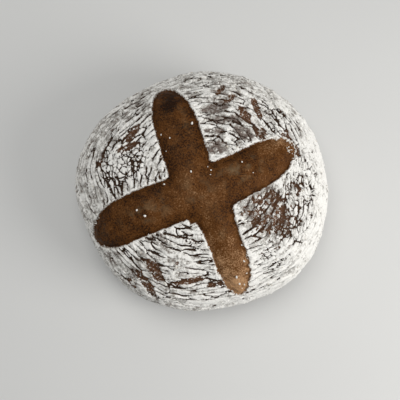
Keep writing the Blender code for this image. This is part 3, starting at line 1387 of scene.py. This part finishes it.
@dataclass(frozen=True)
class LooseFlour:
    """Loose crumbs of flour, each a little different."""

    white: tuple[float, ...] = (0.82, 0.805, 0.765, 1.0)
    cream: tuple[float, ...] = (0.55, 0.50, 0.42, 1.0)

    def build(self, groups: ShaderGroups) -> bpy.types.Material:
        """Makes the crumbs' material.

        Args:
            groups: The shader groups it draws on.

        Returns:
            The material.
        """
        material, bench, shader, place = new_material("loose_flour")
        tint = groups.patchy(bench, place, 320.0, 2.0, 0.42, 0.70)
        bench.link(bench.colours(tint, self.white, self.cream), shader.inputs["Base Color"])
        grain = {"Vector": place, "Coarse": 1500.0, "Fine": 4000.0}
        height = groups.grained(bench, shader, grain, 0.4, 0.0003)
        bench.link(bench.spread(height, 0.4, 0.9, 0.85, 0.97), shader.inputs["Roughness"])
        return material


# ---------------------------------------------------------------- pieces


def shown(mesh: bpy.types.Mesh, name: str) -> bpy.types.Object:
    """Adds a finished mesh to the scene as a piece of the loaf.

    Args:
        mesh: The piece's mesh, in the loaf's own place.
        name: The piece's name.

    Returns:
        The piece's object.
    """
    piece = bpy.data.objects.new(name, mesh)
    mesh.name = name
    bpy.context.scene.collection.objects.link(piece)
    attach(piece, "root")
    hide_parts("loaf")
    log.info("%s: %d triangles", name, len(mesh.polygons))
    return piece


def round_map(points: np.ndarray, path: np.ndarray, reach: float, radius: float) -> np.ndarray:
    """Lays the skin out round its top, as far from the middle as it is down the meridian.

    Args:
        points: Positions on the skin.
        path: Their way down the meridian, in metres.
        reach: The longest way down, in metres.
        radius: The radius it is drawn at, as a share of the map.

    Returns:
        Places on the map.
    """
    angle = np.arctan2(points[:, 1], points[:, 0])
    out = radius * path / reach
    return 0.5 + np.stack([out * np.cos(angle), out * np.sin(angle)], axis=1)


class BlisterTree:
    """Geometry nodes that raise blisters and grain out of the burst crust."""

    def __init__(self) -> None:
        """Builds the tree once."""
        inputs = {
            "Geometry": None,
            "Blister Size": 0.0042,
            "Blister Height": 0.00055,
            "Grain Size": 0.0016,
            "Grain Height": 0.00028,
            "Seed": 11.3,
            "Material": "material",
        }
        outputs = {"Geometry": "NodeSocketGeometry"}
        bench, given, result = new_group("blistered_crust", "GeometryNodeTree", inputs, outputs)
        self.tree = bench.tree
        place = bench.seeded_place(given["Seed"], 0.4, 0.9)
        blisters = self._height(bench, place, given["Blister Size"], given["Blister Height"], 1.0)
        grain = self._height(bench, place, given["Grain Size"], given["Grain Height"], 3.0)
        amount = bench.maths("MULTIPLY_ADD", bench.stored("burst"), 0.75, 0.25)
        height = bench.maths("MULTIPLY", bench.maths("ADD", blisters, grain), amount)
        push = bench.scaled(bench.put("GeometryNodeInputNormal").outputs[0], height)
        rough = bench.put("GeometryNodeInputPosition").outputs[0]
        high = bench.put("ShaderNodeSeparateXYZ", {0: rough}).outputs[2]
        off_base = bench.maths("GREATER_THAN", high, 0.0005)
        moved = bench.put(
            "GeometryNodeSetPosition",
            {"Geometry": given["Geometry"], "Selection": off_base, "Offset": push},
        ).outputs[0]
        bench.close(moved, given["Material"], result["Geometry"])

    @staticmethod
    def _height(bench: NodeBench, place: Any, size: Any, height: Any, detail: float) -> Any:
        """A noise of bumps of one size and height.

        Args:
            bench: The bench of the tree it goes into.
            place: Coordinates to read the pattern at.
            size: Width of a bump, in metres.
            height: Height of the bumps, in metres.
            detail: Octaves of the noise.

        Returns:
            The height, as a socket.
        """
        scale = bench.maths("DIVIDE", 1.0, size)
        value = bench.noise(place, scale, detail).outputs[0]
        value = bench.maths("MULTIPLY", bench.maths("SUBTRACT", value, NOISE_MIDDLE), 2.0)
        return bench.maths("MULTIPLY", value, height)


@dataclass
class CrustBody:
    """The whole loaf as one closed crust, with the burst cross and the cracks' beds."""

    form: LoafForm
    skin: Skin
    fields: CrustFields
    cells: int
    bed_depth: float = 0.0013
    bake: float = 0.34
    swell_bake: float = 0.08
    hub_bake: float = 0.14
    char: float = 0.50
    south_bake_and_light: float = 0.74
    east_bake_and_light: float = 0.08
    east_tip_bake_and_light: float = 0.52
    petal_dust: float = 0.42
    burst_dust: float = 0.028
    edge_dust: float = 0.5
    base_dust: float = 0.06
    base_browning: float = 0.75

    def build(self, material: bpy.types.Material) -> bpy.types.Object:
        """Makes the crust.

        Args:
            material: The crust's finish.

        Returns:
            The crust's object.
        """
        sheet = self.form.plain(self.cells)
        self.fields.stored(sheet, material)
        self.skin.measure(sheet)
        self.skin.raised(sheet)
        v = sheet.values
        bed = 1.0 - smooth_step(v["cracks"], -0.0003, 0.0006)
        bed *= smooth_step(v["cut"], 0.0004, 0.0016)
        above_base = smooth_step(sheet.points[:, 2], 0.002, 0.010)
        down = self.bed_depth * bed * above_base
        sheet.points = sheet.points - sheet.normals() * down[:, None]
        carried = self._finish_values(sheet, bed * above_base)
        path = v["path"]
        sheet.values = carried
        mesh = grown(
            sheet.to_mesh("crust_smooth"), BlisterTree().tree, {"Material": material}, "loaf_crust"
        )
        self._flatten_base(mesh)
        self._map(mesh, sheet, path)
        mesh.shade_smooth()
        return shown(mesh, "loaf_crust")

    def _finish_values(self, sheet: Sheet, bed: np.ndarray) -> dict[str, np.ndarray]:
        """The point values that the crust's finish reads.

        Args:
            sheet: The raised skin.
            bed: How far each corner lies in a crack's bed, from 0 to 1.

        Returns:
            The values, by name.
        """
        v, points = sheet.values, sheet.points
        cut = v["cut"]
        burst = 1.0 - smooth_step(cut, -0.0006, 0.0004)
        inward = np.clip(-cut / self.skin.half_width, 0.0, 1.0)
        x, y = points[:, 0], points[:, 1]
        # Lighter towards the south and east ends, which face the key light: golden crust, with
        # painted light on those slopes.
        south = smooth_step(-y, 0.016, 0.085) * (x > 0.0)
        east = smooth_step(x, 0.0, 0.05) * (y > -0.02)
        tones = self.hub_bake * HUB.weight(points) - self.char * NORTH_CHAR.weight(points)
        tones += self.south_bake_and_light * south + self.east_bake_and_light * east
        tones += self.east_tip_bake_and_light * EAST_TIP.weight(points)
        bake = self.bake + self.swell_bake * inward
        bake += tones * smooth_step(points[:, 2], 0.020, 0.045)
        bare = np.maximum(
            patch_weight(BARE_PATCHES, points), patch_weight(RUBBED_PATCHES, points)
        )
        # Painted shade in the cracks' beds, weaker in the bare patches; the dust is kept out of it.
        painted_crack_shade = bed * (1.0 - 0.75 * np.clip(bare, 0.0, 1.0))
        dust = self.petal_dust * (1.0 - burst) * (1.0 - 0.9 * painted_crack_shade)
        dust += self.burst_dust * burst + self.edge_dust * bell(cut - 0.0001, 0.0006)
        low = 1.0 - smooth_step(points[:, 2], 0.006, 0.022)
        dust = mixed(dust, self.base_dust, low)
        underside = 1.0 - smooth_step(points[:, 2], 0.001, 0.012)
        return {
            "burst": np.maximum(burst, self.base_browning * underside),
            "bake": bake,
            # Painted sheen along the arms' ridges, strongest in the listed patches.
            "ridge_sheen": smooth_step(inward, 0.25, 0.9) * (0.15 + patch_weight(SHEEN_PATCHES, points)),
            "painted_crack_shade": 0.85 * painted_crack_shade,
            "dust": np.clip(dust, 0.0, 1.0),
        }

    @staticmethod
    def _flatten_base(mesh: bpy.types.Mesh) -> None:
        """Keeps every corner of the crust on or above the base.

        Args:
            mesh: The mesh, changed in place.
        """
        points = point_positions(mesh)
        points[:, 2] = np.maximum(points[:, 2], 0.0)
        mesh.vertices.foreach_set("co", points.astype(np.float32).ravel())
        mesh.update()

    @staticmethod
    def _map(mesh: bpy.types.Mesh, sheet: Sheet, path: np.ndarray) -> None:
        """Maps the dome and sides to one disc, and the base to a small one in a corner.

        Args:
            mesh: The mesh, changed in place.
            sheet: The skin that the mesh came from.
            path: Each corner's way down the meridian, in metres.
        """
        base_from = 0.118
        top = round_map(sheet.points, path, base_from, 0.46)
        angle = np.arctan2(sheet.points[:, 1], sheet.points[:, 0])
        reach = np.hypot(sheet.points[:, 0], sheet.points[:, 1])
        small = 0.066 * reach / 0.1
        base = np.stack([0.072 + small * np.cos(angle), 0.072 + small * np.sin(angle)], axis=1)
        on_base = (path[sheet.faces] > base_from).any(1)
        corner_uv = np.where(on_base[:, None, None], base[sheet.faces], top[sheet.faces])
        set_bake_map(mesh, corner_uv)


class Petal(Enum):
    """The skin between two arms of the cross, by the arms' numbers, going round to the left."""

    NORTH_EAST = (1, 0)
    NORTH_WEST = (0, 2)
    SOUTH_WEST = (2, 3)
    SOUTH_EAST = (3, 1)


@dataclass
class FlourCoat:
    """Flour caked onto the four petals between the arms, broken into flakes.

    Heights and reaches are in metres. The other numbers say how much each cause adds to or
    takes from the flour's cover, which runs from 0 to 1.
    """

    form: LoafForm
    skin: Skin
    fields: CrustFields
    cells: int
    thick: float = 0.00090
    sunk: float = 0.00045
    clump_height: float = 0.0009
    least: float = 0.00008
    low_edge: float = 0.011
    low_ragged: float = 0.012
    lip_reach: float = 0.0011
    cover: float = 0.61
    painted_light_cover: float = 0.26
    thick_cover: float = 0.24
    cover_noise: float = 1.1
    streak_noise: float = 1.5
    bead_cover: float = 0.10
    thin_loss: float = 0.60
    rubbed_loss: float = 0.50
    lip_cover: float = 0.5

    def skin_sheet(self, material: bpy.types.Material) -> Sheet:
        """The raised skin with how much flour each point keeps, before it is cut into flakes.

        Args:
            material: The finish.

        Returns:
            The sheet.
        """
        sheet = self.form.plain(self.cells, deepest=0.93)
        self.fields.stored(sheet, material)
        self.skin.measure(sheet)
        self.skin.raised(sheet)
        v, points = sheet.values, sheet.points
        patchy = v["cover"] - NOISE_MIDDLE
        low_edge = points[:, 2] - self.low_edge - self.low_ragged * patchy
        flakes = np.minimum(np.minimum(v["cracks"], v["worn"]), low_edge)
        v["flakes"] = np.minimum(flakes, v["cut"] - 0.0003)
        thin = patch_weight(THIN_PATCHES, points)
        rubbed = patch_weight(RUBBED_PATCHES, points)
        # Painted light: the cover rises towards the key light, east and south-east, so the flour is
        # drawn whiter there as well as thicker.
        painted_light_side = smooth_step(points[:, 0] - 0.5 * points[:, 1], 0.0, 0.07)
        caked = patch_weight(THICK_PATCHES, points)
        thick = np.maximum(self.painted_light_cover * painted_light_side, self.thick_cover * caked)
        cover = self.cover + thick + self.cover_noise * patchy
        cover += self.streak_noise * (v["streak"] - NOISE_MIDDLE)
        cover += self.bead_cover * v["beaded"]
        cover -= self.thin_loss * thin + self.rubbed_loss * rubbed
        lip = bell(v["cut"], self.lip_reach) * (0.30 + 0.70 * v["guard"])
        v["cover_and_light_share"] = np.clip(cover + self.lip_cover * lip, 0.0, 1.0)
        v["clump"] = smooth_step(v["wear"], 0.50, 0.78)
        v["normal"] = sheet.normals()
        v["lip"] = lip
        return sheet

    def build(self, material: bpy.types.Material) -> Sheet:
        """Makes the four petals' flour.

        Args:
            material: The flour's finish.

        Returns:
            The skin under and between the flakes, for loose crumbs to lie on.
        """
        sheet = self.skin_sheet(material)
        keep = (sheet.values["flakes"] > -0.0015)[sheet.faces].any(1)
        read_on = ("flakes", "cover_and_light_share", "normal", "lip", "clump", "path")
        sheet.values = {name: sheet.values[name] for name in read_on}
        sheet = sheet.kept(sheet.faces[keep])
        headings = [math.radians(arm.heading) for arm in self.form.cross.arms]
        for petal in Petal:
            start, end = (headings[number] for number in petal.value)
            value = np.minimum(sheet.values["flakes"], self._between(sheet, start, end))
            value = np.where(np.abs(value) < self.least, np.copysign(self.least, value), value)
            self._flaked(sheet.clipped(value), f"flour_{petal.name.lower()}", material)
        return sheet

    def _between(self, sheet: Sheet, start: float, end: float) -> np.ndarray:
        """Distance inside the wedge from one arm's middle line round to the next's.

        Args:
            sheet: The skin to measure on.
            start: Heading of the first arm, in radians.
            end: Heading of the second arm, in radians.

        Returns:
            The distances, in metres.
        """
        mid_x, mid_y = self.form.middle()
        x = sheet.points[:, 0] + mid_x - self.form.cross.hub[0]
        y = sheet.points[:, 1] + mid_y - self.form.cross.hub[1]
        after_start = y * math.cos(start) - x * math.sin(start)
        before_end = x * math.sin(end) - y * math.cos(end)
        return np.minimum(after_start, before_end) - 0.00003

    def _flaked(self, petal: Sheet, name: str, material: bpy.types.Material) -> None:
        """Gives a petal's cut sheet its thickness, closed all round, and shows it.

        Args:
            petal: The cut sheet.
            name: The piece's name.
            material: The finish.
        """
        v = petal.values
        count = len(petal.points)
        rise = smooth_step(v["flakes"], -0.00025, 0.0011)
        height = self.thick * (0.20 + 0.80 * rise) * (0.55 + 0.45 * v["cover_and_light_share"])
        height += self.clump_height * v["clump"] * rise + 0.00035 * v["lip"]
        top = petal.points + v["normal"] * height[:, None]
        bottom = petal.points - v["normal"] * (self.sunk + 0.0003 * v["lip"])[:, None]
        edges = petal.open_edges()
        a, b = edges[:, 0], edges[:, 1]
        walls = np.concatenate(
            [np.stack([b, a, a + count], axis=1), np.stack([b, a + count, b + count], axis=1)]
        )
        faces = np.concatenate([petal.faces, petal.faces[:, ::-1] + count, walls])
        carried = {"cover_and_light_share": np.concatenate([v["cover_and_light_share"], v["cover_and_light_share"]])}
        solid = Sheet(np.concatenate([top, bottom]), faces, carried)
        mesh = solid.to_mesh(name)
        mesh.materials.append(material)
        self._map(mesh, petal, edges)
        mesh.shade_smooth()
        mesh.set_sharp_from_angle(angle=math.radians(60.0))
        shown(mesh, name)

    @staticmethod
    def _map(mesh: bpy.types.Mesh, petal: Sheet, edges: np.ndarray) -> None:
        """Maps the flakes' tops round the loaf's top, and their hidden undersides small.

        Args:
            mesh: The mesh, changed in place.
            petal: The cut sheet.
            edges: Its open edges, by corner numbers.
        """
        flat = round_map(petal.points, petal.values["path"], 0.150, 1.0)
        low, high = flat.min(0), flat.max(0)
        size = float((high - low).max())
        upper = 0.01 + 0.86 * (flat - low) / size
        under = 0.885 + 0.105 * (flat - low) / size
        outward = np.zeros_like(flat)
        along = upper[edges[:, 1]] - upper[edges[:, 0]]
        side = np.stack([along[:, 1], -along[:, 0]], axis=1)
        side /= np.maximum(np.linalg.norm(side, axis=1), 1e-12)[:, None]
        for k in range(2):
            outward[:, k] = np.bincount(edges[:, 0], side[:, k], len(flat))
            outward[:, k] += np.bincount(edges[:, 1], side[:, k], len(flat))
        outward /= np.maximum(np.linalg.norm(outward, axis=1), 1e-12)[:, None]
        foot = upper + outward * 0.0016
        a, b = edges[:, 0], edges[:, 1]
        corner_uv = np.concatenate(
            [
                upper[petal.faces],
                under[petal.faces[:, ::-1]],
                np.stack([upper[b], upper[a], foot[a]], axis=1),
                np.stack([upper[b], foot[a], foot[b]], axis=1),
            ]
        )
        set_bake_map(mesh, corner_uv)


class Spread(Enum):
    """How crumbs are laid on their host."""

    STREWN = "strewn_crumbs"
    PLACED = "placed_crumbs"


class CrumbTree:
    """Geometry nodes that lay small crumbs on a surface, strewn over it or one at each corner."""

    def __init__(self, spread: Spread) -> None:
        """Builds the tree once.

        Args:
            spread: Whether the crumbs are strewn by weight or placed on the host's corners.
        """
        inputs = {
            "Geometry": None,
            "Density": 40000.0,
            "Least Size": 0.25,
            "Most Size": 1.0,
            "Crumb Radius": 0.0010,
            "Lump Scale": 850.0,
            "Lump Reach": 0.0013,
            "Seed": 5,
            "Material": "material",
        }
        outputs = {"Geometry": "NodeSocketGeometry"}
        bench, given, result = new_group(spread.value, "GeometryNodeTree", inputs, outputs)
        self.tree = bench.tree
        if spread is Spread.STREWN:
            density = bench.maths("MULTIPLY", bench.stored("strew"), given["Density"])
            spots = bench.put(
                "GeometryNodeDistributePointsOnFaces",
                {"Mesh": given["Geometry"], "Density": density, "Seed": given["Seed"]},
                distribute_method="RANDOM",
            )
        else:
            spots = bench.put("GeometryNodeMeshToPoints", {"Mesh": given["Geometry"]})
        round_crumb = {"Radius": given["Crumb Radius"], "Subdivisions": 1}
        ball = bench.put("GeometryNodeMeshIcoSphere", round_crumb)
        chances = {2: 0.0, 3: 1.0, "Seed": given["Seed"]}
        size = bench.put("FunctionNodeRandomValue", chances, data_type="FLOAT").outputs[1]
        size = bench.maths("POWER", size, 2.0)
        size = bench.spread(size, 0.0, 1.0, given["Least Size"], given["Most Size"])
        stretch = self._chosen(bench, (0.7, 0.7, 0.5), (1.3, 1.0, 0.9), given["Seed"], 1.0)
        turn = self._chosen(bench, (0.0, 0.0, 0.0), (6.28, 6.28, 6.28), given["Seed"], 2.0)
        strewn = bench.put(
            "GeometryNodeInstanceOnPoints",
            {
                "Points": spots.outputs["Points"],
                "Instance": ball.outputs["Mesh"],
                "Rotation": turn,
                "Scale": bench.scaled(stretch, size),
            },
        ).outputs[0]
        realized = bench.put("GeometryNodeRealizeInstances", {"Geometry": strewn}).outputs[0]
        place = bench.put("GeometryNodeInputPosition").outputs[0]
        push = bench.wandering(place, given["Lump Scale"], given["Lump Reach"])
        lumpy = bench.put("GeometryNodeSetPosition", {"Geometry": realized, "Offset": push})
        bench.close(lumpy.outputs[0], given["Material"], result["Geometry"])

    @staticmethod
    def _chosen(bench: NodeBench, low: Any, high: Any, seed: Any, step: float) -> Any:
        """A random vector for each crumb, from its own step of the seed.

        Args:
            bench: The bench of the tree it goes into.
            low: Least of each axis.
            high: Greatest of each axis.
            seed: Number that sets the pattern.
            step: Added to the seed, so that the draws differ.

        Returns:
            The vector, as a socket.
        """
        inputs = {0: low, 1: high, "Seed": bench.maths("ADD", seed, step)}
        node = bench.put("FunctionNodeRandomValue", inputs, data_type="FLOAT_VECTOR")
        return node.outputs[0]


@dataclass
class FlourCrumbs:
    """Loose crumbs of flour: many on the flakes, and a few specks on the burst cross."""

    skin_sheet: Sheet
    density: float = 90000.0
    specks: tuple[tuple[float, float], ...] = (
        (-0.0225, 0.0267),
        (-0.0068, 0.0381),
        (-0.0251, 0.0169),
        (-0.0397, -0.0291),
        (0.0067, 0.0026),
        (-0.0073, 0.0012),
        (0.0287, 0.0087),
        (0.0364, 0.0010),
        (-0.0262, -0.0071),
        (0.0301, -0.0603),
        (0.0062, -0.0010),
        (0.0045, 0.0052),
        (-0.0290, 0.0300),
        (0.0330, -0.0560),
        (0.0250, -0.0715),
        (-0.0455, -0.0250),
    )
    torn_ends: tuple[tuple[Patch, int], ...] = (
        (Patch(0.0660, 0.0200, 0.0110, 0.0040, 105.0), 18),
        (Patch(0.0500, 0.0300, 0.0120, 0.0020, 12.0), 9),
        (Patch(0.0320, -0.0720, 0.0090, 0.0030, 60.0), 4),
    )
    seed: int = 7

    def build(self, crust: bpy.types.Object, material: bpy.types.Material) -> None:
        """Lays the crumbs and the specks.

        Args:
            crust: The crust that the specks lie on.
            material: The crumbs' finish.
        """
        sheet = self.skin_sheet
        v = sheet.values
        on_flakes = smooth_step(v["flakes"], 0.0, 0.0004)
        strew = on_flakes * (0.4 + 0.6 * v["cover_and_light_share"]) + 0.10
        host = Sheet(sheet.points + v["normal"] * 0.0004, sheet.faces, {"strew": strew})
        inputs = {"Density": self.density, "Material": material}
        strewn = CrumbTree(Spread.STREWN).tree
        self._finish(grown(host.to_mesh("crumb_host"), strewn, inputs, "flour_crumbs"))
        bpy.context.view_layer.update()
        spots = [self._on(crust, x, y) for x, y in (*self.specks, *self._torn_spots())]
        host = Sheet(np.array(spots), np.empty((0, 3), dtype=np.int64))
        inputs = {"Crumb Radius": 0.0014, "Least Size": 0.35, "Material": material}
        placed = CrumbTree(Spread.PLACED).tree
        self._finish(grown(host.to_mesh("speck_host"), placed, inputs, "flour_specks"))

    def _torn_spots(self) -> list[tuple[float, float]]:
        """Plan points of the lumps on the arms' torn ends, the same every time.

        Returns:
            The points, in metres.
        """
        dice = np.random.default_rng(self.seed)
        spots = []
        for patch, count in self.torn_ends:
            turn = math.radians(patch.turn)
            for out, angle in dice.uniform(0.0, 1.0, (count, 2)):
                along = patch.long * math.sqrt(out) * math.cos(2.0 * math.pi * angle)
                across = patch.short * math.sqrt(out) * math.sin(2.0 * math.pi * angle)
                x = patch.x + along * math.cos(turn) - across * math.sin(turn)
                y = patch.y + along * math.sin(turn) + across * math.cos(turn)
                spots.append((x, y))
        return spots

    def _finish(self, mesh: bpy.types.Mesh) -> None:
        """Maps a mesh of crumbs and adds it to the scene.

        Args:
            mesh: The mesh, changed in place.
        """
        self._map(mesh)
        mesh.shade_smooth()
        shown(mesh, mesh.name)

    @staticmethod
    def _on(crust: bpy.types.Object, x: float, y: float) -> tuple[float, float, float]:
        """The point on the crust straight below a plan point, a little proud of it."""
        _, place, _, _ = crust.ray_cast(Vector((x, y, 0.2)), Vector((0.0, 0.0, -1.0)))
        return place.x, place.y, place.z + 0.0002

    @staticmethod
    def _map(mesh: bpy.types.Mesh, corners: int = 12) -> None:
        """Maps each crumb to its own square, its upper half beside its lower half.

        Args:
            mesh: The mesh, changed in place.
            corners: Corners of one crumb.
        """
        points = point_positions(mesh)
        crumbs = len(points) // corners
        local = points.reshape(crumbs, corners, 3)
        local = local - local.mean(1, keepdims=True)
        local /= np.maximum(np.linalg.norm(local, axis=2, keepdims=True), 1e-12)
        side = math.ceil(math.sqrt(crumbs))
        flat = np.empty(len(mesh.loops), dtype=np.int32)
        mesh.loops.foreach_get("vertex_index", flat)
        faces = flat.reshape(-1, 3)
        owner = faces[:, 0] // corners
        directions = local.reshape(-1, 3)[faces]
        upper = directions[:, :, 2].mean(1) > 0.0
        place = directions[:, :, :2] / (1.0 + np.abs(directions[:, :, 2:]))
        place = place * np.array([0.11, 0.22])
        centre = np.stack([np.where(upper, 0.25, 0.75), np.full(len(faces), 0.5)], axis=1)
        cell = np.stack([owner % side, owner // side], axis=1)
        set_bake_map(mesh, (cell[:, None] + centre[:, None] + place) / side)


# ---------------------------------------------------------------- studio


@dataclass
class Studio:
    """A pale floor, soft light from the right, and the camera above the loaf."""

    focus: tuple[float, float, float] = (-0.0010, -0.0040, 0.0)
    eye: tuple[float, float, float] = (-0.0010, -0.0748, 0.4325)
    lens: float = 45.0
    key_power: float = 5.8
    fill_power: float = 4.4
    sky: float = 0.32

    def build(self) -> None:
        """Makes the floor, the lights and the camera."""
        self._floor()
        self._light("key_light", (0.74, -0.30, 0.46), 0.55, self.key_power, (1.0, 0.985, 0.96))
        self._light("fill_light", (-0.12, 0.16, 0.95), 0.7, self.fill_power, (1.0, 0.985, 0.955))
        world = bpy.data.worlds.new("studio_air")
        world.use_nodes = True
        background = world.node_tree.nodes["Background"]
        background.inputs["Color"].default_value = (0.94, 0.97, 1.0, 1.0)
        background.inputs["Strength"].default_value = self.sky
        bpy.context.scene.world = world
        camera = bpy.data.cameras.new("camera")
        camera.lens = self.lens
        camera.sensor_width = 36.0
        holder = bpy.data.objects.new("camera", camera)
        bpy.context.scene.collection.objects.link(holder)
        holder.location = self.eye
        aim = Vector(self.focus) - Vector(self.eye)
        holder.rotation_euler = aim.to_track_quat("-Z", "Y").to_euler()
        bpy.context.scene.camera = holder

    @staticmethod
    def _light(name: str, place: tuple, size: float, power: float, tint: tuple) -> None:
        """Adds a soft lamp that looks at the loaf.

        Args:
            name: The lamp's name.
            place: Its place, in metres.
            size: Width of its face, in metres.
            power: Its power, in watts.
            tint: Its colour.
        """
        lamp = bpy.data.lights.new(name, "AREA")
        lamp.shape = "DISK"
        lamp.size = size
        lamp.energy = power
        lamp.color = tint
        holder = bpy.data.objects.new(name, lamp)
        bpy.context.scene.collection.objects.link(holder)
        holder.location = place
        aim = Vector((0.0, 0.0, 0.04)) - Vector(place)
        holder.rotation_euler = aim.to_track_quat("-Z", "Y").to_euler()

    @staticmethod
    def _floor() -> None:
        """Adds the plain pale floor."""
        mesh = bpy.data.meshes.new("floor")
        far = 3.0
        mesh.from_pydata(
            [(-far, -far, 0.0), (far, -far, 0.0), (far, far, 0.0), (-far, far, 0.0)],
            [],
            [(0, 1, 2, 3)],
        )
        material, bench, shader, place = new_material("pale_floor")
        cloud = bench.noise(place, 3.0, 2.0).outputs[0]
        tint = bench.colours(cloud, (0.60, 0.60, 0.59, 1.0), (0.63, 0.63, 0.62, 1.0))
        bench.link(tint, shader.inputs["Base Color"])
        shader.inputs["Roughness"].default_value = 0.9
        mesh.materials.append(material)
        floor = bpy.data.objects.new("floor", mesh)
        bpy.context.scene.collection.objects.link(floor)


class Detail(Enum):
    """Cells along each edge of the rounded cube, for the crust and for the flour."""

    QUICK = (80, 120)
    FULL = (126, 166)


def main() -> None:
    """Builds the loaf's pieces in order."""
    logging.basicConfig(level=logging.INFO, format="%(name)s: %(message)s")
    crust_cells, flour_cells = Detail.FULL.value
    form = LoafForm.from_frame("loaf")
    skin = Skin(form)
    groups = ShaderGroups()
    fields = CrustFields()
    crust = CrustBody(form, skin, fields, crust_cells).build(BakedCrust().build(groups))
    coated = FlourCoat(form, skin, fields, flour_cells).build(CakedFlour().build(groups))
    FlourCrumbs(coated).build(crust, LooseFlour().build(groups))
    Studio().build()
    bpy.context.scene.view_settings.view_transform = "Standard"


if __name__ == "__main__":
    main()
